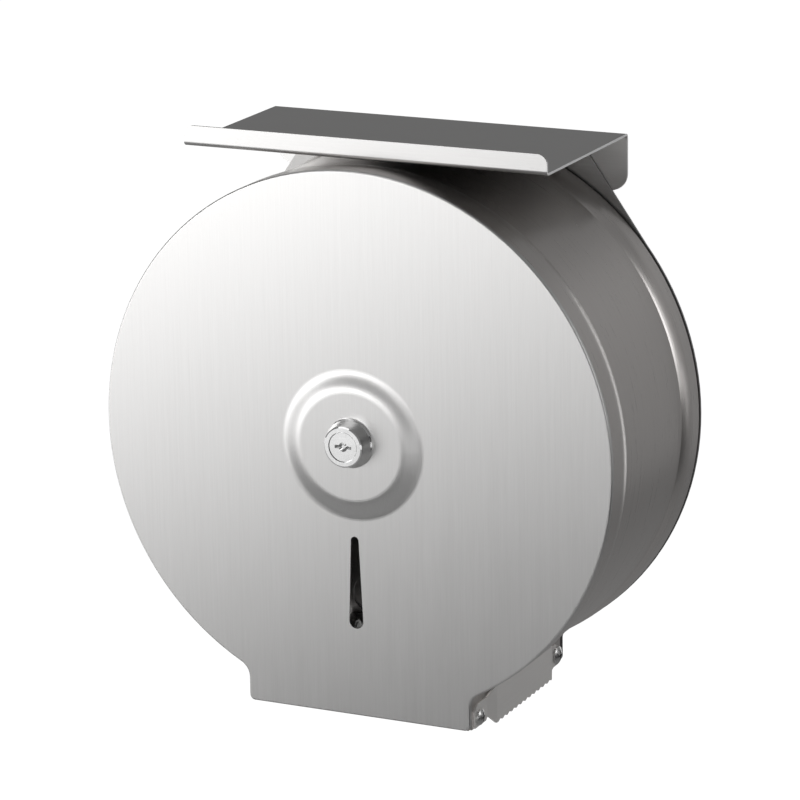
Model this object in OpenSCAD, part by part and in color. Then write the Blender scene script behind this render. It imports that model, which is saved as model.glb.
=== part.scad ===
// Wall-mounted jumbo toilet roll dispenser: a drum-shaped hinged cover with a cam lock, a
// dished back pan with a spindle and a turning core hub, serrated tear strips and a shelf.
// Every piece is drawn lying on its back: x is left to right, y is up the wall and z is the
// distance out from the wall. stand() turns the finished piece upright.

/* [Drum] */
// Outer radius of the drum-shaped cover
drum_r = 135; // [125:1:150]
// Distance from the wall to the face of the front panel
body_depth = 115; // [112:1:150]
// Thickness of the cover's sheet steel
sheet_t = 1.0; // [0.8:0.1:1.4]
// Depth of the recess rolled into the drum wall
recess_d = 2.0; // [1:0.1:3]
// Width of the raised band behind the front panel
front_band_w = 13; // [12:0.5:18]
// Width of the raised band at the open rear edge
rear_band_w = 8; // [7:0.5:16]
// Width of the curved shoulder from a band down to the recess
shoulder_w = 10; // [6:0.5:14]
// Height of the return rim around the front panel
panel_rim_h = 2.5; // [2:0.1:4]
// Radius of the front panel's pressed edge
panel_edge_r = 0.9; // [0.5:0.1:1]
// Distance from the wall to the cover's open rear edge
cover_rear_z = 4; // [3.6:0.1:5]

/* [Neck] */
// Width of the neck that the paper hangs out of
neck_w = 120; // [110:1:136]
// How far the neck reaches below the drum
neck_below = 3; // [2:0.5:10]
// Radius of the hollow corner between drum and neck, to the nearest that joins exactly
neck_fillet_r = 8; // [7:0.5:16]
// Radius of the front panel's two lower corners
foot_corner_r = 3; // [2.5:0.5:6]

/* [Front panel boss and sight slot] */
// Diameter where the pressed boss leaves the front panel
boss_base_d = 76; // [70:1:84]
// Diameter of the boss's flat top
boss_top_d = 53; // [46:1:58]
// Height of the boss
boss_h = 3; // [2:0.25:4]
// Distance from the drum axis down to the top of the sight slot
slot_top_y = 46; // [43:1:60]
// Length of the sight slot
slot_len = 47; // [30:1:55]
// Width of the sight slot at its top
slot_top_w = 4.2; // [3:0.1:6]
// Width of the sight slot at its bottom
slot_bottom_w = 7.6; // [6.1:0.1:10]

/* [Back pan] */
// Thickness of the back pan's sheet steel
pan_t = 1.2; // [1:0.1:1.4]
// Distance from the wall to the front edge of the pan's rim
pan_rim_z = 8; // [6:0.5:9]
// Gap between the pan's rim and the inside of the cover
pan_gap = 0.8; // [0.6:0.1:1.2]
// How far the pan's outer edge reaches past the drum
pan_overhang = 0.2; // [0.1:0.1:1]
// Slope of the straight edges that lead from the round pan up to the shelf
pan_slope_a = 35; // [30:1:42]
// Middle radius of the stiffening ring pressed into the pan
pan_ring_r = 92; // [80:1:98]
// Width of the stiffening ring
pan_ring_w = 14; // [10:1:18]
// Height of the stiffening ring
pan_ring_h = 2.2; // [1:0.1:3]

/* [Wall fixing] */
// Sideways distance between the wall screw holes
hole_dx = 96; // [84:1:100]
// Distance from the top of the drum down to the upper wall screw holes
hole_inset = 19; // [18:0.5:22]
// Diameter of the wall screw holes
hole_d = 6; // [5:0.1:7]

/* [Shelf] */
// Width of the shelf
shelf_w = 192; // [160:1:230]
// Distance from the wall to the front of the shelf's lip
shelf_depth = 99; // [80:1:118]
// Height of the upturned lip above the shelf
shelf_lip_h = 9; // [6:0.5:14]
// Thickness of the shelf's sheet steel
shelf_t = 1.2; // [1:0.1:1.5]
// Length of the flange behind the pan, measured down from the shelf's top
shelf_flange_h = 29; // [28:0.5:40]
// Gap between the drum and the underside of the shelf
shelf_gap = 1.8; // [1.6:0.1:4]
// Outside radius of the shelf's two bends
shelf_bend_r = 2.2; // [1.8:0.1:2.4]
// Radius of the lip's upper corners
lip_corner_r = 5; // [2:0.5:8]
// Radius of the flange's lower corners
flange_corner_r = 9; // [4:0.5:12]

/* [Spindle and hub] */
// Outside diameter of the drawn spindle
spindle_d = 44; // [43:0.5:50]
// Thickness of the spindle's sheet steel
spindle_t = 1.2; // [1:0.1:1.4]
// Clear distance from the spindle's end to the front panel
spindle_short = 18; // [17:0.5:24]
// Diameter of the spindle's foot flange
spindle_foot_d = 78; // [76:1:90]
// Diameter over the ribs of the core hub
hub_d = 57; // [55:0.5:60]
// Number of ribs on the core hub
hub_ribs = 6; // [4:1:10]
// Diameter of the core hub's rear flange
hub_flange_d = 90; // [80:1:120]
// Running gap between the hub and the spindle
hub_gap = 0.1; // [0.05:0.01:0.1]

/* [Tear strips] */
// Thickness of the tear strips
strip_t = 1.0; // [0.8:0.1:1.2]
// How far the toothed part stands out from the strip's ends
strip_bulge = 2.5; // [2:0.25:4]
// Number of teeth on each strip
strip_teeth = 12; // [8:1:16]
// Depth of the teeth
tooth_h = 1.0; // [0.6:0.1:2.5]
// How far the teeth reach below the neck
teeth_below = 3; // [2.5:0.1:3.3]

/* [Hinge] */
// Height of the pivot above the neck's lower edge
pivot_up = 6.5; // [6.2:0.1:7]
// Distance from the wall to the pivot
pivot_z = 11.5; // [11.2:0.1:13.5]
// Thickness of the hinge ears
ear_t = 1.5; // [1.2:0.1:2]
// Diameter of the pivot screws
pivot_d = 5; // [4:0.5:5]

/* [Lock] */
// How far the lock sits above the middle of the boss
lock_up = 2; // [0:0.25:3]
// Diameter of the lock's bezel where it meets the boss
bezel_d = 24.6; // [23:0.2:27]
// Diameter of the bezel's face
bezel_face_d = 19; // [17.4:0.2:20]
// How far the bezel stands out from the boss
bezel_h = 8; // [5:0.5:10]
// Diameter of the lock's barrel behind the boss
barrel_d = 19; // [18:0.2:20]
// Diameter of the turning plug inside the barrel
plug_d = 13; // [12:0.2:13]
// Length of the cam's tongue from the plug's axis
cam_reach = 15; // [13:0.5:15]
// Width of the cam
cam_w = 8; // [7:0.5:8.5]

/* [Hidden] */
$fn = 72;
// Small step by which a cut passes the face it opens
eps = 0.5;
// Clearance around a screw in its hole, on the radius
hole_fit = 0.1;
// Clearance between two fixed pieces that slide together when built
seat_fit = 0.1;

// Neck and outline
neck_half = neck_w / 2;
drop = drum_r + neck_below;
hollow_y = sqrt(pow(drum_r + neck_fillet_r, 2) - pow(neck_half + neck_fillet_r, 2));
fillet_y = -round(2 * hollow_y) / 2;
hollow_exact = (pow(neck_half, 2) + pow(fillet_y, 2) - pow(drum_r, 2)) / (2 * (drum_r - neck_half));
hollow_r = round(1000 * hollow_exact) / 1000;
fillet_x = neck_half + hollow_r;

// Cover
face_z = body_depth;
panel_back_z = face_z - sheet_t;
seam_z = face_z - panel_rim_h - seat_fit;
shoulder_rho = (pow(shoulder_w, 2) + pow(recess_d, 2)) / (2 * recess_d);
rear_band_z = cover_rear_z + rear_band_w;
front_band_z = face_z - front_band_w;
boss_z = face_z + boss_h;
lip_step = 1.5;
lip_gap = 0.2;
edge_steps = 6;
curve_steps = 8;

// Pan
pan_back_z = shelf_t;
pan_face_z = pan_back_z + pan_t;
pan_r = drum_r + pan_overhang;
pan_top_y = pan_r + 0.1;
pan_side_r = pan_r - 0.2;
rim_r = drum_r - sheet_t - pan_gap;
rim_low_y = -0.55 * drum_r;
hole_y = drum_r - hole_inset;
dimple_r = 11;

// Shelf
shelf_under_y = drum_r + shelf_gap;
shelf_top_y = shelf_under_y + shelf_t;
stud_d = 4;
stud_dx = 44;
nut_h = 3.2;
nut_af = 7;
screw_head_r = 4;
screw_head_h = 2.4;
screw_spare = 1;
head_sink = 0.3;
washer_t = 0.8;
washer_r = 4.5;

// Spindle
spindle_r = spindle_d / 2;
spindle_foot_r = spindle_foot_d / 2;
spindle_foot_t = 1.5;
spindle_end_z = face_z - spindle_short;
spindle_bolt_r = spindle_foot_r - 6.5;
foot_face_z = pan_face_z + spindle_foot_t;
foot_nut_top_z = foot_face_z + washer_t + nut_h;
spacer_wall = 3.4;
hub_rear_z = foot_nut_top_z + 1.2;
hub_flange_t = 2.5;
hub_wall = 2.4;
clip_t = 1.2;
clip_z = spindle_end_z - 6.5;
clip_groove_d = 0.6;
hub_front_z = clip_z - 0.3;
hub_bore_r = spindle_r + hub_gap;
hub_sleeve_r = hub_bore_r + hub_wall;
hub_tip_r = hub_d / 2;

// Lock
lock_y = lock_up;
barrel_r = barrel_d / 2;
barrel_flat = barrel_d - 2.6;
barrel_end_z = face_z - 13;
plug_r = plug_d / 2;
plug_gap = 0.08;
plug_rim_r = plug_r + 0.7;
plug_rim_t = 1.5;
rim_gap = 0.35;
rim_seat = 0.1;
bezel_edge = 0.8;
bezel_chamfer = 0.5;
face_round = 0.9;
tail_bore_r = 1.55;
tail_bore_l = 8;
key_depth = 4;
key_r = 2.3;
key_l = 8.8;
key_w = 1.7;
pin_r = 0.9;
lock_washer_t = 1;
lock_washer_w = 3.5;
lock_nut_t = 4.5;
plug_face_z = boss_z + bezel_h - 0.4;
shank_r = 4;
cam_t = 2.4;
cam_front_z = spindle_end_z - 3.5;
cam_back_z = cam_front_z - cam_t;
cam_square = 5;
slot_side_gap = 1;
keeper_up = 1.5;
keeper_down = 9;

// Hinge
pivot_y = -drop + pivot_up;
pivot_r = pivot_d / 2;
wall_in_x = neck_half - sheet_t;
hinge_gap = 0.6;
bush_flange_t = 1.0;
bush_wall = 0.95;
bush_gap = 0.05;
ear_out_x = wall_in_x - hinge_gap - bush_flange_t;
ear_in_x = ear_out_x - ear_t;
bush_end_x = ear_in_x - 0.5;
ear_half = 5;
foot_len = 20;
foot_t = 1.5;
rivet_r = 2;
rivet_tail_t = 0.9;
rivet_tail_r = 3;
rivet_head_h = 1.6;
rivet_head_r = 3.6;
rivet_top_r = 2.2;
rivet_dx = [7.2, 15.6];
pivot_nut_h = 4;
pivot_head_r = 4.5;
pivot_head_h = 2.6;
pivot_spare = 0.6;
pivot_nut_af = 8;

// Tear strips
strip_x = neck_half;
strip_front_z = face_z - 4.5;
strip_front_bend_z = face_z - 19;
strip_bend_w = 6;
strip_rear_bend_z = pivot_z + 5.5;
strip_screw_z = face_z - 9.5;
strip_screw_y = -drop + 5;
strip_tab_top_y = fillet_y;
strip_top_y = fillet_y + 4;
strip_tab_r = 4.5;
teeth_front_z = strip_front_bend_z - strip_bend_w - 0.5;
teeth_rear_z = strip_rear_bend_z + strip_bend_w + 0.5;
tip_y = -drop - teeth_below;
valley_y = tip_y + tooth_h;

// ---------------------------------------------------------------- helpers

module stand() {
    rotate([90, 0, 0]) children();
}

// Repeats a piece on both sides of the upright middle plane
module both_sides() {
    children();
    mirror([1, 0, 0]) children();
}

// Front view of drum and neck, grown or shrunk by g
module outline(g = 0) {
    touch_y = fillet_y * (drum_r + g) / (drum_r + hollow_r);
    corner = foot_corner_r + g;
    half = neck_half + g;
    circle(r = drum_r + g, $fn = 180);
    difference() {
        translate([-fillet_x, -drop - g]) square([2 * fillet_x, touch_y + drop + g]);
        for (s = [-1, 1]) {
            translate([s * fillet_x, fillet_y]) circle(r = hollow_r - g);
            translate([s * (half + fillet_x) / 2 - (fillet_x - half) / 2, -drop - g - eps])
                square([fillet_x - half, fillet_y + drop + g + eps]);
            translate([s * (half - corner / 2) - corner / 2, -drop - g]) foot_corner_cut(corner, s);
        }
    }
}

// The sliver that a rounded lower corner takes off a square one
module foot_corner_cut(r, s) {
    difference() {
        translate([0, -eps]) square([r, r + eps]);
        translate([s > 0 ? 0 : r, r]) circle(r = r);
    }
}

// Sweeps a profile along the drum, the hollow corners and the neck's sides. In the profile,
// x is the distance out from the outline and y is the distance from the wall. Drum and hollow
// corners are whole turns cut along the line through both centres, and each side of the neck
// is two overlapping runs of a whole length, so that all ends fall exactly in place.
module sweep_sides(bottom_gap = 0) {
    straight = ceil(0.6 * (fillet_y + drop - bottom_gap));
    centre = [fillet_x, fillet_y];
    difference() {
        rotate_extrude($fn = 180) translate([drum_r, 0]) children();
        upright_prism([[0, 0], 2 * centre, [-2 * fillet_x, 2 * fillet_y]]);
    }
    both_sides() {
        intersection() {
            translate([fillet_x, fillet_y, 0]) rotate_extrude()
                translate([hollow_r, 0]) mirror([1, 0]) children();
            upright_prism([centre, 0.5 * centre, [0, 0.5 * fillet_y], [0, fillet_y]]);
        }
        for (top_y = [fillet_y, -drop + bottom_gap + straight])
            translate([neck_half, top_y, 0]) rotate([90, 0, 0])
                linear_extrude(straight) children();
    }
}

module upright_prism(points) {
    translate([0, 0, -1]) linear_extrude(face_z + 2) polygon(points);
}

// Carries the same profile round the lower corners and along the neck's lower edge
module sweep_foot() {
    corner = foot_corner_r;
    both_sides() translate([neck_half - corner, -drop + corner, 0]) rotate([0, 0, -90])
        rotate_extrude(angle = 90) translate([corner, 0]) children();
    translate([neck_half - corner, -drop, 0]) rotate([0, 0, -90]) rotate([90, 0, 0])
        linear_extrude(neck_w - 2 * corner) children();
}

// Lays a bar's or screw's axis along +x, starting at x
module along_x(x, y, z) {
    translate([x, y, z]) rotate([0, 90, 0]) children();
}

module hex_nut(af, h, bore_r) {
    difference() {
        cylinder(r = af / sqrt(3), h = h, $fn = 6);
        translate([0, 0, -eps]) cylinder(r = bore_r, h = h + 2 * eps);
    }
}

module washer(r, bore_r, t) {
    difference() {
        cylinder(r = r, h = t);
        translate([0, 0, -eps]) cylinder(r = bore_r, h = t + 2 * eps);
    }
}

// Domed screw head with a cross recess, its seat at z = 0
module pan_head(r, h) {
    dome_rho = (pow(r, 2) + pow(h * 0.55, 2)) / (2 * h * 0.55);
    difference() {
        rotate_extrude() difference() {
            intersection() {
                square([r, h]);
                translate([0, h - dome_rho]) circle(r = dome_rho, $fn = 120);
            }
            translate([-2 * r, 0]) square([2 * r, h]);
        }
        for (a = [0, 90]) rotate([0, 0, a])
            translate([-r * 0.58, -r * 0.12, h * 0.45]) cube([r * 1.16, r * 0.24, h]);
    }
}

// Depth of the drum wall's shoulder at the distance s from its band
function shoulder_depth(s) = shoulder_rho - sqrt(pow(shoulder_rho, 2) - pow(s, 2));

// Surface line of the drum wall, from the rear edge to the front band, shifted in by dx
function wall_line(dx) = concat(
    [[-dx, cover_rear_z]],
    [for (i = [0 : curve_steps]) let (s = shoulder_w * i / curve_steps)
        [-dx - shoulder_depth(s), rear_band_z + s]],
    [for (i = [curve_steps : -1 : 0]) let (s = shoulder_w * i / curve_steps)
        [-dx - shoulder_depth(s), front_band_z - s]]
);

function reversed(list) = [for (i = [len(list) - 1 : -1 : 0]) list[i]];

// ---------------------------------------------------------------- base

// Stamped plate with a hoop rim inside the cover, a stiffening ring and dimples at the lower
// wall screws
module back_pan() {
    ring_in = pan_ring_r - pan_ring_w / 2;
    ring_out = pan_ring_r + pan_ring_w / 2;
    ring_slope = pan_ring_h;
    color("silver") stand() difference() {
        union() {
            translate([0, 0, pan_back_z]) linear_extrude(pan_t) pan_outline();
            translate([0, 0, pan_back_z]) linear_extrude(pan_rim_z - pan_back_z) pan_rim();
            rotate_extrude(angle = 360) translate([0, pan_back_z]) polygon([
                [ring_in, 0], [ring_in + ring_slope, pan_ring_h],
                [ring_out - ring_slope, pan_ring_h], [ring_out, 0],
                [ring_out, pan_t], [ring_out - ring_slope, pan_t + pan_ring_h],
                [ring_in + ring_slope, pan_t + pan_ring_h], [ring_in, pan_t]]);
            both_sides() translate([hole_dx / 2, -hole_y, 0]) cylinder(r = dimple_r, h = pan_face_z);
        }
        rotate_extrude() translate([0, pan_back_z]) polygon([
            [ring_in, -eps], [ring_in, 0], [ring_in + ring_slope, pan_ring_h],
            [ring_out - ring_slope, pan_ring_h], [ring_out, 0], [ring_out, -eps]]);
        both_sides() {
            translate([hole_dx / 2, hole_y, 0]) cylinder(r = hole_d / 2, h = pan_rim_z);
            translate([hole_dx / 2, -hole_y, -eps]) cylinder(r = hole_d / 2, h = pan_rim_z);
            translate([hole_dx / 2, -hole_y, pan_back_z]) cylinder(r = dimple_r - pan_t, h = pan_rim_z);
            translate([stud_dx / 2, hole_y, 0]) cylinder(r = stud_d / 2 + hole_fit, h = pan_rim_z);
            for (dx = rivet_dx) translate([ear_out_x - dx, pivot_y, 0])
                cylinder(r = rivet_r, h = pan_rim_z);
        }
    }
}

// Round plate with the neck below and straight slanted edges up to the shelf
module pan_outline() {
    top_x = (pan_side_r - pan_top_y * sin(pan_slope_a)) / cos(pan_slope_a);
    low_x = pan_side_r * cos(pan_slope_a);
    low_y = pan_side_r * sin(pan_slope_a);
    intersection() {
        outline(pan_overhang);
        translate([-pan_r - eps, -drop]) square([2 * (pan_r + eps), drop + pan_r + eps]);
    }
    polygon([[-low_x, low_y], [-top_x, pan_top_y], [top_x, pan_top_y], [low_x, low_y]]);
}

// The rim stops above the neck, where the cover's lower half swings past
module pan_rim() {
    intersection() {
        ring_2d(rim_r, rim_r - pan_t);
        translate([-rim_r - eps, rim_low_y]) square([2 * (rim_r + eps), rim_r - rim_low_y + eps]);
    }
}

// Angle bracket: a foot riveted to the pan and an ear that carries the pivot
module hinge_ear() {
    translate([ear_out_x - foot_len, pivot_y - ear_half, pan_face_z])
        cube([foot_len, 2 * ear_half, foot_t]);
    translate([0, 0, 0]) difference() {
        union() {
            translate([ear_in_x, pivot_y - ear_half, pan_face_z])
                cube([ear_t, 2 * ear_half, pivot_z - pan_face_z]);
            along_x(ear_in_x, pivot_y, pivot_z) cylinder(r = ear_half, h = ear_t);
        }
        along_x(ear_in_x - eps, pivot_y, pivot_z) cylinder(r = pivot_r + bush_gap + bush_wall,
                                                           h = ear_t + 2 * eps);
    }
}

module drilled_ear() {
    difference() {
        hinge_ear();
        for (dx = rivet_dx) translate([ear_out_x - dx, pivot_y, 0])
            cylinder(r = rivet_r, h = pan_face_z + foot_t + eps);
    }
}

module hinge_ear_right() {
    color("silver") stand() drilled_ear();
}

module hinge_ear_left() {
    color("silver") stand() mirror([1, 0, 0]) drilled_ear();
}

module hinge_rivets() {
    color("gainsboro") stand() both_sides() for (dx = rivet_dx)
        translate([ear_out_x - dx, pivot_y, 0]) {
            translate([0, 0, pan_back_z - rivet_tail_t]) cylinder(r = rivet_tail_r, h = rivet_tail_t);
            translate([0, 0, pan_back_z - rivet_tail_t])
                cylinder(r = rivet_r - hole_fit / 2,
                         h = rivet_tail_t + pan_t + foot_t + rivet_head_h / 2);
            translate([0, 0, pan_face_z + foot_t])
                cylinder(r1 = rivet_head_r, r2 = rivet_top_r, h = rivet_head_h);
        }
}

// Plastic flanged bushes in the ears
module pivot_bushes() {
    barrel = pivot_r + bush_gap + bush_wall - bush_gap;
    color("dimgray") stand() both_sides() difference() {
        union() {
            along_x(bush_end_x, pivot_y, pivot_z) cylinder(r = barrel, h = ear_out_x - bush_end_x);
            along_x(ear_out_x, pivot_y, pivot_z) cylinder(r = barrel + 1, h = bush_flange_t);
        }
        along_x(bush_end_x - eps, pivot_y, pivot_z) cylinder(r = pivot_r + bush_gap, h = 10);
    }
}

// Bent from one sheet: flange against the wall, shelf over the drum, upturned front lip
module shelf() {
    color("gray") stand() difference() {
        intersection() {
            translate([-shelf_w / 2, 0, 0]) rotate([90, 0, 90]) linear_extrude(shelf_w) shelf_section();
            linear_extrude(shelf_depth + eps) shelf_front_view();
        }
        both_sides() translate([hole_dx / 2, hole_y, -eps]) cylinder(r = hole_d / 2, h = 3 * shelf_t);
    }
}

// Section across the shelf: x is up the wall and y is out from it
module shelf_section() {
    inner_r = shelf_bend_r - shelf_t;
    flange_y = shelf_top_y - shelf_flange_h;
    lip_y = shelf_top_y + shelf_lip_h;
    translate([flange_y, 0]) square([shelf_flange_h - shelf_bend_r, shelf_t]);
    translate([shelf_under_y, shelf_bend_r]) square([shelf_t, shelf_depth - 2 * shelf_bend_r]);
    translate([shelf_under_y + shelf_bend_r, shelf_depth - shelf_t])
        square([lip_y - shelf_under_y - shelf_bend_r, shelf_t]);
    translate([shelf_top_y - shelf_bend_r, shelf_bend_r]) intersection() {
        ring_2d(shelf_bend_r, inner_r);
        translate([0, -shelf_bend_r]) square(shelf_bend_r);
    }
    translate([shelf_under_y + shelf_bend_r, shelf_depth - shelf_bend_r]) intersection() {
        ring_2d(shelf_bend_r, inner_r);
        translate([-shelf_bend_r, 0]) square(shelf_bend_r);
    }
}

module ring_2d(r_out, r_in) {
    difference() {
        circle(r = r_out);
        circle(r = r_in);
    }
}

module shelf_front_view() {
    half = shelf_w / 2;
    low = shelf_top_y - shelf_flange_h;
    high = shelf_top_y + shelf_lip_h;
    difference() {
        translate([-half, low]) square([shelf_w, high - low]);
        for (s = [-1, 1]) {
            translate([s * half, low]) corner_cut(flange_corner_r, -s, 1);
            translate([s * half, high]) corner_cut(lip_corner_r, -s, -1);
        }
    }
}

// Takes a rounded corner off: sx and sy point from the corner into the sheet
module corner_cut(r, sx, sy) {
    difference() {
        translate([sx > 0 ? -eps : -r, sy > 0 ? -eps : -r]) square(r + eps);
        translate([sx * r, sy * r]) circle(r = r);
    }
}

// Studs welded to the shelf's flange; they pass through the pan
module shelf_studs() {
    color("gainsboro") stand() both_sides() translate([stud_dx / 2, hole_y, shelf_t])
        cylinder(r = stud_d / 2, h = pan_t + washer_t + nut_h + 1);
}

module shelf_washers() {
    color("gainsboro") stand() both_sides() translate([stud_dx / 2, hole_y, pan_face_z])
        washer(washer_r, stud_d / 2 + hole_fit, washer_t);
}

module shelf_nuts() {
    color("gainsboro") stand() both_sides() translate([stud_dx / 2, hole_y, pan_face_z + washer_t])
        hex_nut(nut_af, nut_h, stud_d / 2 + hole_fit / 2);
}

// Drawn in one piece: foot flange, tube, and end wall with the slot that keeps the cam
module spindle() {
    keeper_top = lock_y + cam_reach + keeper_up;
    keeper_bottom = lock_y - shank_r - keeper_down;
    keeper_half = cam_w / 2 + slot_side_gap;
    color("silver") stand() difference() {
        union() {
            translate([0, 0, pan_face_z]) cylinder(r = spindle_foot_r, h = spindle_foot_t);
            translate([0, 0, pan_face_z]) cylinder(r = spindle_r, h = spindle_end_z - pan_face_z);
        }
        translate([0, 0, pan_face_z - eps])
            cylinder(r = spindle_r - spindle_t, h = spindle_end_z - spindle_t - pan_face_z + eps);
        translate([-keeper_half, keeper_bottom, spindle_end_z - spindle_t - eps])
            cube([2 * keeper_half, keeper_top - keeper_bottom, spindle_t + 2 * eps]);
        translate([0, 0, clip_z]) washer(spindle_r + eps, spindle_r - clip_groove_d, clip_t);
        at_foot_bolts() cylinder(r = stud_d / 2 + hole_fit, h = foot_nut_top_z);
    }
}

module at_foot_bolts() {
    for (a = [45 : 90 : 315]) rotate([0, 0, a]) translate([spindle_bolt_r, 0, 0]) children();
}

// Studs welded to the pan
module spindle_studs() {
    color("gainsboro") stand() at_foot_bolts() translate([0, 0, pan_face_z])
        cylinder(r = stud_d / 2, h = foot_nut_top_z - pan_face_z + 0.4);
}

module spindle_washers() {
    color("gainsboro") stand() at_foot_bolts() translate([0, 0, foot_face_z])
        washer(washer_r, stud_d / 2 + hole_fit, washer_t);
}

module spindle_nuts() {
    color("gainsboro") stand() at_foot_bolts() translate([0, 0, foot_face_z + washer_t])
        hex_nut(nut_af, nut_h, stud_d / 2 + hole_fit / 2);
}

// Plastic ring that holds the hub clear of the foot's nuts
module hub_spacer() {
    color("dimgray") stand() translate([0, 0, foot_face_z])
        washer(spindle_r + spacer_wall, spindle_r + hole_fit, hub_rear_z - 0.2 - foot_face_z);
}

// Open ring snapped into the spindle's groove
module hub_clip() {
    clip_in = spindle_r - clip_groove_d + 0.05;
    clip_out = spindle_r + 2.6;
    lug_r = 2.2;
    gap_half_a = 24;
    color("dimgray") stand() translate([0, 0, clip_z + 0.05]) linear_extrude(clip_t - 0.1) difference() {
        union() {
            ring_2d(clip_out, clip_in);
            for (s = [-1, 1]) rotate([0, 0, -90 + s * (gap_half_a + 5)])
                translate([clip_out - 0.5, 0]) circle(r = lug_r);
        }
        circle(r = clip_in);
        polygon([[0, 0], 2 * clip_out * [-sin(gap_half_a), -cos(gap_half_a)],
                 2 * clip_out * [sin(gap_half_a), -cos(gap_half_a)]]);
        for (s = [-1, 1]) rotate([0, 0, -90 + s * (gap_half_a + 5)])
            translate([clip_out - 0.5, 0]) circle(r = 0.9);
    }
}

// ---------------------------------------------------------------- hub

// Moulded sleeve with ribs that centre the roll's core, turning on the spindle
module core_hub() {
    rib_t = 3;
    taper = 8;
    color("whitesmoke") stand() difference() {
        union() {
            translate([0, 0, hub_rear_z]) cylinder(r = hub_sleeve_r, h = hub_front_z - hub_rear_z);
            translate([0, 0, hub_rear_z]) cylinder(r = hub_flange_d / 2, h = hub_flange_t);
            for (i = [0 : hub_ribs - 1]) rotate([0, 0, 360 * i / hub_ribs])
                translate([0, rib_t / 2, 0]) rotate([90, 0, 0]) linear_extrude(rib_t) polygon([
                    [hub_sleeve_r - 1, hub_rear_z + 1], [hub_tip_r, hub_rear_z + 1],
                    [hub_tip_r, hub_front_z - taper], [hub_sleeve_r, hub_front_z - 0.5],
                    [hub_sleeve_r - 1, hub_front_z - 0.5]]);
        }
        translate([0, 0, hub_rear_z - eps]) cylinder(r = hub_bore_r, h = hub_front_z - hub_rear_z + 2 * eps);
    }
}

// ---------------------------------------------------------------- cover

// Pressed face with a rounded edge, a return rim, the lock's boss and the sight slot
module front_panel() {
    inset = 1.5;
    color("lightgray") stand() difference() {
        union() {
            difference() {
                translate([0, 0, panel_back_z]) linear_extrude(sheet_t) outline(-inset);
                translate([0, 0, panel_back_z - eps])
                    cylinder(r = boss_base_d / 2, h = sheet_t + 2 * eps);
            }
            sweep_sides(foot_corner_r) panel_edge();
            sweep_foot() panel_edge();
            boss();
        }
        sight_slot();
        lock_hole();
    }
}

// Section of the panel's edge: rounded corner and return rim
module panel_edge() {
    polygon(concat(
        [[-2, panel_back_z], [-sheet_t, panel_back_z], [-sheet_t, face_z - panel_rim_h],
         [0, face_z - panel_rim_h]],
        [for (i = [0 : edge_steps]) let (a = 90 * i / edge_steps)
            [-panel_edge_r + panel_edge_r * cos(a), face_z - panel_edge_r + panel_edge_r * sin(a)]],
        [[-2, face_z]]));
}

// Height of the boss's pressed surface at radius r
function boss_rise(r) = let (s = (boss_base_d / 2 - r) / (boss_base_d - boss_top_d) * 2)
    boss_h * (1 - cos(180 * s)) / 2;

module boss() {
    slope_steps = 12;
    base_r = boss_base_d / 2;
    top_r = boss_top_d / 2;
    radii = [for (i = [0 : slope_steps]) base_r + (top_r - base_r) * i / slope_steps];
    line = concat([[base_r + 1, 0]], [for (r = radii) [r, boss_rise(r)]], [[0, boss_h]]);
    rotate_extrude($fn = 120) translate([0, panel_back_z])
        polygon(concat(line, reversed([for (p = line) p + [0, sheet_t]])));
}

// Tapered slot with round ends, through which the paper shows
module sight_slot() {
    a = slot_top_w / 2;
    b = slot_bottom_w / 2;
    run = slot_len - a - b;
    translate([0, -slot_top_y - a, face_z - 5]) linear_extrude(10) {
        circle(r = a);
        polygon([[a, 0], [b, -run], [-b, -run], [-a, 0]]);
        translate([0, -run]) intersection() {
            circle(r = b);
            translate([-b - 1, -b - 1]) square([2 * b + 2, b + 1]);
        }
    }
}

module lock_hole() {
    translate([0, lock_y, face_z - eps]) intersection() {
        cylinder(r = barrel_r + seat_fit, h = boss_h + 2 * eps);
        translate([-barrel_r - 1, -barrel_flat / 2 - seat_fit, 0])
            cube([2 * barrel_r + 2, barrel_flat + 2 * seat_fit, boss_h + 2 * eps]);
    }
}

// Rolled strip with raised bands at both edges and a lip that tucks into the front panel
module drum_wall() {
    color("darkgray") stand() difference() {
        sweep_sides() wall_section();
        both_sides() {
            along_x(neck_half - 4, strip_screw_y, strip_screw_z)
                cylinder(r = stud_d / 2 + hole_fit, h = 8);
            along_x(neck_half - 4, pivot_y, pivot_z) cylinder(r = pivot_r + hole_fit, h = 8);
            rear_corner_cut();
        }
    }
}

module wall_section() {
    tuck = sheet_t + seat_fit;
    lip_top_z = panel_back_z - lip_gap;
    polygon(concat(
        wall_line(0),
        [[0, seam_z], [-tuck, seam_z], [-tuck, lip_top_z], [-tuck - sheet_t, lip_top_z],
         [-tuck - sheet_t, seam_z - lip_step], [-sheet_t, seam_z - 2 * lip_step]],
        reversed(wall_line(sheet_t))));
}

// Rounds the wall's lower rear corner about the pivot, so that it clears the pan
module rear_corner_cut() {
    swing_r = 8;
    translate([neck_half - 2 * recess_d - sheet_t, 0, 0]) rotate([90, 0, 90])
        linear_extrude(2 * recess_d + sheet_t + 1) difference() {
            translate([-drop - eps, 0]) square([drop + eps + pivot_y, pivot_z]);
            translate([pivot_y, pivot_z]) circle(r = swing_r);
        }
}

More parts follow.
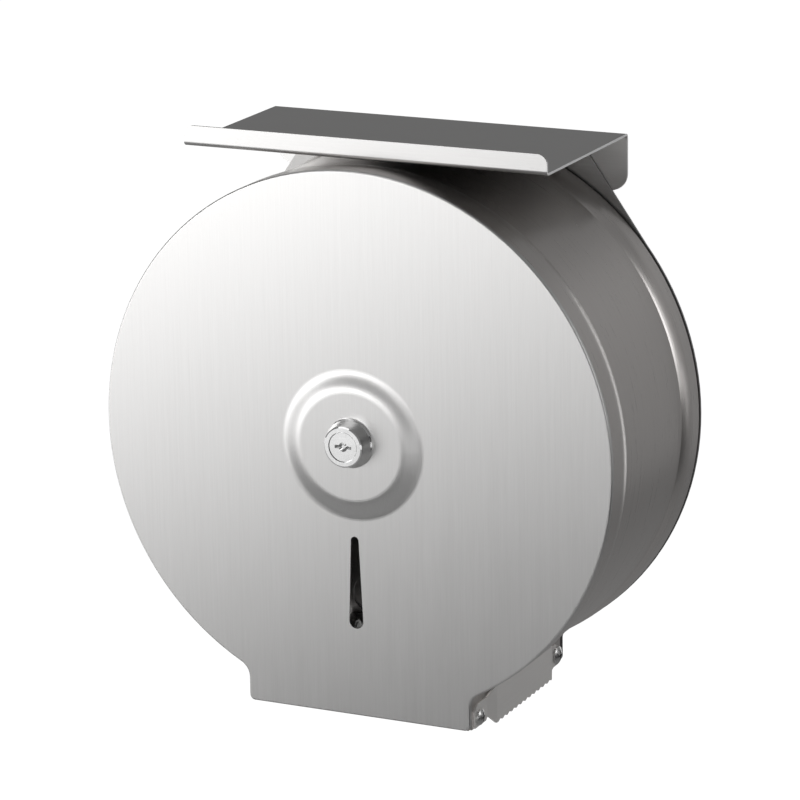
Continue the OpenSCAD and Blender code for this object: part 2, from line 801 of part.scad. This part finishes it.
// Bent strip whose toothed middle stands out from the tabs at its two ends
module tear_strip() {
    difference() {
        intersection() {
            translate([0, tip_y - 1, 0]) rotate([-90, 0, 0]) mirror([0, 1, 0])
                linear_extrude(strip_top_y - tip_y + 2) strip_plan();
            translate([strip_x - 1, 0, 0]) rotate([90, 0, 90])
                linear_extrude(strip_bulge + strip_t + 2) strip_side();
        }
        along_x(strip_x - eps, strip_screw_y, strip_screw_z)
            cylinder(r = stud_d / 2 + hole_fit, h = strip_t + 2 * eps);
        along_x(strip_x - eps, pivot_y, pivot_z)
            cylinder(r = pivot_r + hole_fit, h = strip_t + 2 * eps);
    }
}

// Seen from below: x is out from the neck and y is out from the wall
module strip_plan() {
    lag = strip_t * strip_bulge / (2 * strip_bend_w);
    out = strip_x + strip_bulge;
    rear_bulge = strip_rear_bend_z + strip_bend_w;
    front_bulge = strip_front_bend_z - strip_bend_w;
    rear_end = pivot_z - strip_tab_r - 1;
    polygon([
        [strip_x, rear_end], [strip_x, strip_rear_bend_z], [out, rear_bulge],
        [out, front_bulge], [strip_x, strip_front_bend_z], [strip_x, strip_front_z + 1],
        [strip_x + strip_t, strip_front_z + 1], [strip_x + strip_t, strip_front_bend_z + lag],
        [out + strip_t, front_bulge + lag], [out + strip_t, rear_bulge - lag],
        [strip_x + strip_t, strip_rear_bend_z - lag], [strip_x + strip_t, rear_end]]);
}

// Seen from the side: x is up the wall and y is out from it
module strip_side() {
    pitch = (teeth_front_z - teeth_rear_z) / strip_teeth;
    tab_low_y = -drop + 0.3;
    notch_y = tab_low_y + 1.2;
    slope_y = pivot_y - strip_tab_r * 0.72;
    slope_z = pivot_z - strip_tab_r * 0.69;
    polygon(concat(
        [[strip_tab_top_y, pivot_z], [strip_tab_top_y, strip_rear_bend_z],
         [strip_top_y, strip_rear_bend_z + 5], [strip_top_y, strip_front_bend_z - 5],
         [strip_tab_top_y, strip_front_bend_z], [strip_tab_top_y, strip_front_z - 3],
         [strip_tab_top_y - 3, strip_front_z], [tab_low_y, strip_front_z],
         [tab_low_y, strip_front_bend_z + 1.6], [notch_y, strip_front_bend_z + 0.4],
         [notch_y, strip_front_bend_z - 0.8], [tip_y, teeth_front_z + 1]],
        [for (i = [0 : strip_teeth - 1]) each [
            [tip_y, teeth_front_z - i * pitch - 0.2 * pitch],
            [valley_y, teeth_front_z - (i + 0.6) * pitch],
            [tip_y, teeth_front_z - (i + 1) * pitch]]],
        [[tip_y + 1.6, teeth_rear_z - 3], [slope_y, slope_z], [pivot_y, pivot_z]]));
    translate([pivot_y, pivot_z]) circle(r = strip_tab_r);
}

module tear_strip_right() {
    color("silver") stand() tear_strip();
}

module tear_strip_left() {
    color("silver") stand() mirror([1, 0, 0]) tear_strip();
}

// Cross-recessed screws through the strips' front tabs
module strip_screws() {
    reach = strip_t + sheet_t + nut_h + screw_spare;
    color("gainsboro") stand() both_sides() {
        along_x(strip_x + strip_t, strip_screw_y, strip_screw_z)
            pan_head(screw_head_r, screw_head_h);
        along_x(strip_x + strip_t - reach, strip_screw_y, strip_screw_z)
            cylinder(r = stud_d / 2, h = reach + head_sink);
    }
}

module strip_nuts() {
    color("gainsboro") stand() both_sides()
        along_x(wall_in_x - nut_h, strip_screw_y, strip_screw_z)
            hex_nut(nut_af, nut_h, stud_d / 2 + hole_fit / 2);
}

// Screws that turn in the bushes and carry the cover
module pivot_screws() {
    tip_x = bush_end_x - hinge_gap - pivot_nut_h - pivot_spare;
    color("gainsboro") stand() both_sides() {
        along_x(strip_x + strip_t, pivot_y, pivot_z) pan_head(pivot_head_r, pivot_head_h);
        along_x(tip_x, pivot_y, pivot_z)
            cylinder(r = pivot_r, h = strip_x + strip_t - tip_x + head_sink);
    }
}

module pivot_nuts() {
    color("gainsboro") stand() both_sides()
        along_x(bush_end_x - hinge_gap - pivot_nut_h, pivot_y, pivot_z)
            hex_nut(pivot_nut_af, pivot_nut_h, pivot_r + hole_fit / 2);
}

// Chromed bezel and flatted barrel in one
module lock_barrel() {
    base_r = bezel_d / 2;
    face_r = bezel_face_d / 2;
    top = boss_z + bezel_h;
    color("whitesmoke") stand() translate([0, lock_y, 0]) difference() {
        union() {
            rotate_extrude() polygon([
                [0, boss_z], [base_r, boss_z], [base_r, boss_z + bezel_edge],
                [base_r - bezel_chamfer, boss_z + 2 * bezel_edge],
                [face_r + face_round, top - 1.3 * face_round],
                [face_r + 0.7 * face_round, top - 0.5 * face_round], [face_r, top], [0, top]]);
            intersection() {
                translate([0, 0, barrel_end_z]) cylinder(r = barrel_r, h = boss_z - barrel_end_z + 0.5);
                translate([-barrel_r - 1, -barrel_flat / 2, barrel_end_z - eps])
                    cube([2 * barrel_r + 2, barrel_flat, boss_z - barrel_end_z + 2]);
            }
        }
        translate([0, 0, barrel_end_z - eps]) cylinder(r = plug_r, h = top - barrel_end_z + 2 * eps);
        translate([0, 0, plug_face_z - plug_rim_t - rim_seat])
            cylinder(r = plug_rim_r + rim_gap, h = bezel_h);
    }
}

module lock_washer() {
    color("gainsboro") stand() translate([0, lock_y, boss_z - sheet_t - lock_washer_t])
        washer(barrel_r + lock_washer_w, barrel_r + hole_fit, lock_washer_t);
}

module lock_nut() {
    color("gainsboro") stand()
        translate([0, lock_y, boss_z - sheet_t - lock_washer_t - lock_nut_t])
            hex_nut(barrel_d + 4, lock_nut_t, barrel_r + hole_fit);
}

// ---------------------------------------------------------------- lock plug

// Turning plug with a level keyway; its squared tail carries the cam
module lock_plug() {
    tail_z = cam_back_z - 0.2;
    color("whitesmoke") stand() translate([0, lock_y, 0]) difference() {
        union() {
            translate([0, 0, barrel_end_z]) cylinder(r = plug_r - plug_gap, h = plug_face_z - barrel_end_z);
            translate([0, 0, plug_face_z - plug_rim_t]) cylinder(r = plug_rim_r, h = plug_rim_t);
            translate([0, 0, cam_front_z]) cylinder(r = shank_r, h = barrel_end_z - cam_front_z + eps);
            translate([-cam_square / 2, -cam_square / 2, tail_z])
                cube([cam_square, cam_square, cam_front_z - tail_z + eps]);
        }
        keyway();
        translate([0, 0, tail_z - eps]) cylinder(r = tail_bore_r, h = tail_bore_l);
    }
    color("whitesmoke") stand() translate([0, lock_y, plug_face_z - key_depth - eps])
        cylinder(r = pin_r, h = key_depth);
}

module keyway() {
    translate([0, 0, plug_face_z - key_depth]) {
        cylinder(r = key_r, h = key_depth + eps);
        translate([-key_l / 2, -key_w / 2, 0]) cube([key_l, key_w, key_depth + eps]);
    }
}

// Flat cam whose tongue stands up in the slot when unlocked and turns behind the end wall
module lock_cam() {
    color("gainsboro") stand() translate([0, lock_y, cam_back_z]) difference() {
        linear_extrude(cam_t) {
            circle(r = cam_w / 2);
            translate([-cam_w / 2, 0]) square([cam_w, cam_reach - 1.5]);
            translate([-cam_w / 2 + 1.5, 0]) square([cam_w - 3, cam_reach]);
            for (s = [-1, 1]) translate([s * (cam_w / 2 - 1.5), cam_reach - 1.5]) circle(r = 1.5);
        }
        translate([-cam_square / 2 - 0.05, -cam_square / 2 - 0.05, -eps])
            cube([cam_square + 0.1, cam_square + 0.1, cam_t + 2 * eps]);
    }
}

module cam_washer() {
    color("gainsboro") stand() translate([0, lock_y, cam_back_z - washer_t - 0.2])
        washer(3.9, 1.6, washer_t);
}

module cam_screw() {
    seat_z = cam_back_z - washer_t - 0.2;
    color("gainsboro") stand() translate([0, lock_y, seat_z]) {
        mirror([0, 0, 1]) cylinder(r = 5.5 / sqrt(3), h = 2, $fn = 6);
        translate([0, 0, -0.3]) cylinder(r = 1.5, h = 6.5);
    }
}

back_pan();
hinge_ear_left();
hinge_ear_right();
hinge_rivets();
pivot_bushes();
shelf();
shelf_studs();
shelf_washers();
shelf_nuts();
spindle();
spindle_studs();
spindle_washers();
spindle_nuts();
hub_spacer();
core_hub();
hub_clip();
front_panel();
drum_wall();
tear_strip_left();
tear_strip_right();
strip_screws();
strip_nuts();
pivot_screws();
pivot_nuts();
lock_barrel();
lock_washer();
lock_nut();
lock_plug();
lock_cam();
cam_washer();
cam_screw();
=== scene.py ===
import math

import bpy
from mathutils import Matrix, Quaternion, Vector

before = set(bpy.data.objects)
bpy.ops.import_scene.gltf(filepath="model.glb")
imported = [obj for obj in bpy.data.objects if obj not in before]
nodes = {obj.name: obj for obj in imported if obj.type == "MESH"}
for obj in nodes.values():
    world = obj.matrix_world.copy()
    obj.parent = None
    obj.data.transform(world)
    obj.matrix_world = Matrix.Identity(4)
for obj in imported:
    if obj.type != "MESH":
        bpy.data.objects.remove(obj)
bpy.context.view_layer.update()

# Sizes in metres. Noise scales are cells per metre.
DRUM_R = 0.135
FINE_ALONG, FINE_ACROSS = 50, 3600      # brushing of the panel, the wall and the shelf
DULL_ALONG, DULL_ACROSS = 60, 2400      # brushing of the pan and the strips
CLOUD_SCALE = 9.0
FINE_SHARE, COARSE_SHARE = 0.6, 0.4
COARSE_SCALE, COARSE_SHIFT = (0.31, 0.31, 0.31), (3.7, 1.9, 5.3)
BRUSHED_COLOUR_FROM = (0.28, 0.72)      # part of the noise that the colours are spread over
BRUSHED_ROUGH_FROM = (0.32, 0.68)
SPECKLED_FROM = (0.35, 0.65)
PLATED_GRAIN, PLATED_CLOUD = (900.0, 4.0, 0.6), 120.0
PLASTIC_GRAIN, PLASTIC_CLOUD = (1400.0, 3.0, 0.55), 40.0
SIDEWAYS = 0.95                         # |x| of a normal from which an edge faces sideways

FLOOR_Z, FLOOR_SIZE = -1.05, 60
FLOOR_WHITE, FLOOR_ROUGH = 0.85, 0.9
WORLD_GREY = 0.22
CARD_LEAST = 0.04                       # a graded card never glows less than this

FACE_Y = -0.115
TARGET = Vector((0.02570, FACE_Y, 0.02544))
AZ, EL, ROLL = math.radians(25.7674), math.radians(15.5935), math.radians(-1.0)
DIST, FOCAL = 1.921905, 4029.62
SENSOR, PICTURE_WIDTH = 36, 800


# ------------------------------------------------------------------ node helpers

class Nodes:
    """Small helper that adds shader nodes and joins them."""

    def __init__(self, name):
        self.mat = bpy.data.materials.new(name)
        self.mat.use_nodes = True
        self.tree = self.mat.node_tree
        self.shader = self.tree.nodes["Principled BSDF"]
        self.out = self.tree.nodes["Material Output"]

    def add(self, kind, **values):
        node = self.tree.nodes.new(kind)
        for key, value in values.items():
            setattr(node, key, value)
        return node

    def link(self, a, b):
        self.tree.links.new(a, b)

    def coords(self, scale=(1, 1, 1)):
        place = self.add("ShaderNodeTexCoord")
        mapping = self.add("ShaderNodeMapping")
        mapping.inputs["Scale"].default_value = scale
        self.link(place.outputs["Object"], mapping.inputs["Vector"])
        return mapping.outputs["Vector"]

    def noise(self, vector, scale, detail, rough):
        node = self.add("ShaderNodeTexNoise")
        node.inputs["Scale"].default_value = scale
        node.inputs["Detail"].default_value = detail
        node.inputs["Roughness"].default_value = rough
        self.link(vector, node.inputs["Vector"])
        return node.outputs["Fac"]

    def math(self, op, a, b=None):
        node = self.add("ShaderNodeMath", operation=op)
        for i, v in enumerate((a, b)):
            if v is None:
                continue
            if isinstance(v, (int, float)):
                node.inputs[i].default_value = v
            else:
                self.link(v, node.inputs[i])
        return node.outputs[0]

    def blend(self, a, share_a, b, share_b):
        """The sum of two values, each times its share."""
        return self.math("ADD", self.math("MULTIPLY", a, share_a),
                         self.math("MULTIPLY", b, share_b))

    def spread(self, value, to, taken_from):
        """Stretches the range taken_from of value over the range to."""
        node = self.add("ShaderNodeMapRange")
        node.inputs["From Min"].default_value, node.inputs["From Max"].default_value = taken_from
        node.inputs["To Min"].default_value, node.inputs["To Max"].default_value = to
        self.link(value, node.inputs["Value"])
        return node.outputs["Result"]

    def tint(self, value, dark, light):
        ramp = self.add("ShaderNodeValToRGB")
        ramp.color_ramp.elements[0].color = (*dark, 1)
        ramp.color_ramp.elements[1].color = (*light, 1)
        self.link(value, ramp.inputs["Fac"])
        return ramp.outputs["Color"]

    def bump(self, height, distance):
        node = self.add("ShaderNodeBump")
        node.inputs["Distance"].default_value = distance
        self.link(height, node.inputs["Height"])
        return node.outputs["Normal"]

    def polar(self):
        """(angle round the drum's axis in radians, radius, depth) as outputs."""
        place = self.add("ShaderNodeTexCoord")
        split = self.add("ShaderNodeSeparateXYZ")
        self.link(place.outputs["Object"], split.inputs[0])
        x, y, z = split.outputs
        squares = self.math("ADD", self.math("MULTIPLY", x, x), self.math("MULTIPLY", z, z))
        return self.math("ARCTAN2", z, x), self.math("SQRT", squares), y

    def join(self, x, y, z):
        node = self.add("ShaderNodeCombineXYZ")
        for value, socket in zip((x, y, z), node.inputs):
            self.link(value, socket)
        return node.outputs[0]

    def dress(self, value, dark, light, colour_from, rough, rough_from, height, depth):
        """Colour and roughness from one noise, and a bump from its grain."""
        s = self.shader
        colour = self.tint(self.spread(value, (0.0, 1.0), colour_from), dark, light)
        self.link(colour, s.inputs["Base Color"])
        self.link(self.spread(value, rough, rough_from), s.inputs["Roughness"])
        self.link(self.bump(height, depth), s.inputs["Normal"])


def brushed(name, stretch, dark, light, rough, depth, anisotropic=0.0, round_grain=False,
            cloudy=0.12):
    """Sheet metal whose grain is a noise pulled long in one direction, or round the drum."""
    n = Nodes(name)
    s = n.shader
    if round_grain:
        angle, radius, y = n.polar()
        along, across = stretch
        vector = n.join(n.math("MULTIPLY", n.math("MULTIPLY", angle, DRUM_R), along),
                        n.math("MULTIPLY", y, across), n.math("MULTIPLY", radius, across))
    else:
        vector = n.coords(stretch)
    fine = n.noise(vector, 1.0, 5.0, 0.7)
    second = n.add("ShaderNodeVectorMath", operation="MULTIPLY_ADD")
    n.link(vector, second.inputs[0])
    second.inputs[1].default_value = COARSE_SCALE
    second.inputs[2].default_value = COARSE_SHIFT
    coarse = n.noise(second.outputs[0], 1.0, 3.0, 0.6)
    cloud = n.noise(n.coords(), CLOUD_SCALE, 3.0, 0.55)
    grain = n.blend(fine, FINE_SHARE, coarse, COARSE_SHARE)
    mixed = n.blend(grain, 1.0 - cloudy, cloud, cloudy)
    s.inputs["Metallic"].default_value = 1.0
    if anisotropic:
        s.inputs["Anisotropic"].default_value = anisotropic
        tangent = n.add("ShaderNodeTangent", direction_type="RADIAL", axis="Z")
        n.link(tangent.outputs["Tangent"], s.inputs["Tangent"])
    n.dress(mixed, dark, light, BRUSHED_COLOUR_FROM, rough, BRUSHED_ROUGH_FROM, grain, depth)
    return n.mat


def shear_edges(mat, rough, tone):
    """Edges that face sideways are cut, not brushed: rougher and lighter than the sheet."""
    tree = mat.node_tree
    shader = tree.nodes["Principled BSDF"]
    place = tree.nodes.new("ShaderNodeTexCoord")
    split = tree.nodes.new("ShaderNodeSeparateXYZ")
    tree.links.new(place.outputs["Normal"], split.inputs[0])
    size = tree.nodes.new("ShaderNodeMath")
    size.operation = "ABSOLUTE"
    tree.links.new(split.outputs["X"], size.inputs[0])
    cut = tree.nodes.new("ShaderNodeMath")
    cut.operation = "GREATER_THAN"
    cut.inputs[1].default_value = SIDEWAYS
    tree.links.new(size.outputs[0], cut.inputs[0])
    for socket, value in (("Roughness", rough), ("Base Color", tone)):
        mix = tree.nodes.new("ShaderNodeMix")
        mix.data_type = "RGBA"
        tree.links.new(cut.outputs[0], mix.inputs["Factor"])
        tree.links.new(shader.inputs[socket].links[0].from_socket, mix.inputs["A"])
        mix.inputs["B"].default_value = (value, value, value, 1)
        tree.links.new(mix.outputs["Result"], shader.inputs[socket])


def speckled(name, dark, light, rough, bump, grain, cloud_scale, metallic):
    """A plated or moulded surface: an even grain over broad clouds."""
    n = Nodes(name)
    speck = n.noise(n.coords(), *grain)
    cloud = n.noise(n.coords(), cloud_scale, 3.0, 0.5)
    mixed = n.blend(speck, 0.5, cloud, 0.5)
    n.shader.inputs["Metallic"].default_value = metallic
    n.dress(mixed, dark, light, SPECKLED_FROM, rough, SPECKLED_FROM, speck, bump)
    return n.mat


def plated(name, dark, light, rough, bump=0.00001):
    return speckled(name, dark, light, rough, bump, PLATED_GRAIN, PLATED_CLOUD, 1.0)


def plastic(name, dark, light, rough=(0.38, 0.52), bump=0.00003):
    return speckled(name, dark, light, rough, bump, PLASTIC_GRAIN, PLASTIC_CLOUD, 0.0)


# ------------------------------------------------------------------ materials

panel_mat = brushed("panel_brushed", (FINE_ACROSS, FINE_ACROSS, FINE_ALONG),
                    (0.6, 0.595, 0.59), (0.68, 0.675, 0.67),
                    rough=(0.34, 0.42), depth=0.000003, anisotropic=0.3)
wall_mat = brushed("wall_brushed", (FINE_ALONG, FINE_ACROSS),
                   (0.58, 0.555, 0.54), (0.66, 0.635, 0.62),
                   rough=(0.26, 0.33), depth=0.0000015, round_grain=True, cloudy=0.05)
pan_mat = brushed("pan_dull", (DULL_ALONG, DULL_ALONG, DULL_ACROSS),
                  (0.33, 0.325, 0.32), (0.42, 0.415, 0.41),
                  rough=(0.34, 0.46), depth=0.000004)
shelf_mat = brushed("shelf_brushed", (FINE_ALONG, FINE_ACROSS, FINE_ACROSS),
                    (0.5, 0.495, 0.49), (0.57, 0.565, 0.56),
                    rough=(0.28, 0.36), depth=0.000003)
shear_edges(shelf_mat, rough=0.72, tone=0.9)
strip_mat = brushed("strip_brushed", (DULL_ACROSS, DULL_ALONG, DULL_ACROSS),
                    (0.9, 0.885, 0.87), (0.95, 0.935, 0.92),
                    rough=(0.52, 0.6), depth=0.000003)
fastener_mat = plated("fastener_plated", (0.5, 0.5, 0.5), (0.68, 0.68, 0.67), (0.24, 0.36))
chrome_mat = plated("lock_chromed", (0.74, 0.74, 0.74), (0.86, 0.86, 0.86), (0.06, 0.14),
                    bump=0.000003)
hardware_mat = plated("hardware_dull", (0.42, 0.41, 0.39), (0.6, 0.59, 0.56), (0.24, 0.42))
hub_mat = plastic("hub_moulded", (0.6, 0.6, 0.58), (0.72, 0.72, 0.7))
nylon_mat = plastic("nylon_moulded", (0.03, 0.03, 0.03), (0.055, 0.055, 0.055))

LOOKS = (
    (panel_mat, ("front_panel",)),
    (wall_mat, ("drum_wall",)),
    (pan_mat, ("back_pan", "hinge_ear_left", "hinge_ear_right", "spindle")),
    (shelf_mat, ("shelf",)),
    (strip_mat, ("tear_strip_left", "tear_strip_right")),
    (fastener_mat, ("hinge_rivets", "shelf_studs", "shelf_washers", "shelf_nuts",
                    "spindle_studs", "spindle_washers", "spindle_nuts",
                    "strip_screws", "strip_nuts", "pivot_screws", "pivot_nuts")),
    (chrome_mat, ("lock_barrel", "lock_plug")),
    (hardware_mat, ("lock_washer", "lock_nut", "lock_cam", "cam_washer", "cam_screw")),
    (hub_mat, ("core_hub",)),
    (nylon_mat, ("pivot_bushes", "hub_spacer", "hub_clip")),
)
look_of = {name: mat for mat, names in LOOKS for name in names}
for name, obj in nodes.items():
    obj.data.materials.clear()
    obj.data.materials.append(look_of[name])


# ------------------------------------------------------------------ studio

def aim(obj, centre, towards, axis):
    """Puts obj at centre with its axis towards a point."""
    obj.location = centre
    obj.rotation_mode = "QUATERNION"
    obj.rotation_quaternion = (Vector(towards) - Vector(centre)).to_track_quat(axis, "Y")


def plane(name, centre, towards, width, height):
    """A rectangle at centre whose face looks at the point towards."""
    w, h = width / 2, height / 2
    mesh = bpy.data.meshes.new(name)
    mesh.from_pydata([(-w, -h, 0), (w, -h, 0), (w, h, 0), (-w, h, 0)], [], [(0, 1, 2, 3)])
    obj = bpy.data.objects.new(name, mesh)
    bpy.context.scene.collection.objects.link(obj)
    aim(obj, centre, towards, "Z")
    return obj


def lamp(name, centre, towards, width, height, power):
    data = bpy.data.lights.new(name, "AREA")
    data.shape = "RECTANGLE"
    data.size, data.size_y = width, height
    data.energy = power
    obj = bpy.data.objects.new(name, data)
    bpy.context.scene.collection.objects.link(obj)
    aim(obj, centre, towards, "-Z")


def card_look(name, level, across, up):
    """Even glow, or one that rises by so much per metre across and up the card."""
    n = Nodes(name)
    n.shader.inputs["Base Color"].default_value = (0, 0, 0, 1)
    glow = n.add("ShaderNodeEmission")
    glow.inputs["Color"].default_value = (1, 1, 1, 1)
    glow.inputs["Strength"].default_value = level
    if across or up:
        split = n.add("ShaderNodeSeparateXYZ")
        n.link(n.coords(), split.inputs[0])
        rise = n.blend(split.outputs["X"], across, split.outputs["Y"], up)
        n.link(n.math("MAXIMUM", n.math("ADD", rise, level), CARD_LEAST),
               glow.inputs["Strength"])
    n.link(glow.outputs[0], n.out.inputs["Surface"])
    return n.mat


def card(name, towards, direction, distance, width, height, level, across=0.0, up=0.0):
    """A grey card of the studio, so far from a point in a direction, seen only in the metal."""
    centre = Vector(towards) + Vector(direction) * distance
    obj = plane(name, centre, towards, width, height)
    obj.data.materials.append(card_look(name, level, across, up))
    obj.visible_camera = False
    obj.visible_shadow = False
    obj.visible_diffuse = False


# The pale floor turns light back, so it darkens where the object shades it; what seen rays
# miss of white is added as light that only they find.
floor = plane("floor", (0, 0, FLOOR_Z), (0, 0, 10), FLOOR_SIZE, FLOOR_SIZE)
look = Nodes("floor_pale")
look.shader.inputs["Base Color"].default_value = (FLOOR_WHITE, FLOOR_WHITE, FLOOR_WHITE, 1)
look.shader.inputs["Roughness"].default_value = FLOOR_ROUGH
rays = look.add("ShaderNodeLightPath").outputs
seen = look.math("MAXIMUM", rays["Is Camera Ray"], rays["Is Glossy Ray"])
seen = look.math("MAXIMUM", seen, rays["Is Transmission Ray"])
floor_glow = look.add("ShaderNodeEmission")
floor_glow.inputs["Color"].default_value = (1, 1, 1, 1)
look.link(look.math("MULTIPLY", seen, FLOOR_WHITE), floor_glow.inputs["Strength"])
both = look.add("ShaderNodeAddShader")
look.link(look.shader.outputs[0], both.inputs[0])
look.link(floor_glow.outputs[0], both.inputs[1])
look.link(both.outputs[0], look.out.inputs["Surface"])
floor.data.materials.append(look.mat)

world = bpy.data.worlds.new("studio")
bpy.context.scene.world = world
world.use_nodes = True
background = world.node_tree.nodes["Background"].inputs
background["Color"].default_value = (WORLD_GREY, WORLD_GREY, WORLD_GREY, 1)
background["Strength"].default_value = 1.0

# from the object to the camera, and where that line of sight goes on from the front panel
back = Vector((math.sin(AZ) * math.cos(EL), -math.cos(AZ) * math.cos(EL), math.sin(EL)))
mirror_dir = Vector((-back.x, back.y, -back.z))

# graded card where the front panel looks, brightest at the upper left
face = (0, FACE_Y, 0)
card("card_front", face, mirror_dir, 1.3, 1.5, 1.5, level=0.93, across=1.9, up=4.3)
# grey card where the drum's side looks, and a narrow bright one in its front shoulder
flank = (0.13, -0.06, 0)
card("card_side", flank, (0.46, 0.87, 0.02), 1.2, 0.75, 1.1, level=0.26, up=0.15)
card("card_shoulder", flank, (0.12, 0.99, -0.05), 1.25, 0.12, 0.62, level=1.5)
# grey card under the object, so that its lower side isn't as white as the floor
card("card_low", (0, 0, 0), (0, 0, -1), 0.9, 5.0, 5.0, level=0.27, across=0.03, up=0.05)
# nearly black cards on the right, for the lock's flank and the front panel's edge
card("card_right_front", flank, (0.9, -0.42, -0.12), 1.3, 0.95, 1.5, level=0.03)
card("card_right_back", flank, (0.9, 0.33, -0.34), 1.25, 0.9, 0.62, level=0.05)

lamp("top", (-0.5, -0.9, 1.5), (0, 0, 0), width=1.2, height=1.2, power=5.0)
lamp("right", (1.5, 0.35, 0.45), (0, -0.05, 0), width=0.5, height=0.8, power=3.2)

# ------------------------------------------------------------------ camera

cam_data = bpy.data.cameras.new("camera")
cam = bpy.data.objects.new("camera", cam_data)
bpy.context.scene.collection.objects.link(cam)
bpy.context.scene.camera = cam
cam_data.lens = FOCAL * SENSOR / PICTURE_WIDTH
cam_data.sensor_width = SENSOR
cam_data.clip_start, cam_data.clip_end = 0.01, 100
cam.rotation_mode = "QUATERNION"
cam.location = TARGET + back * DIST
cam.rotation_quaternion = (-back).to_track_quat("-Z", "Y") @ Quaternion((0, 0, 1), ROLL)

bpy.context.scene.view_settings.view_transform = "Standard"
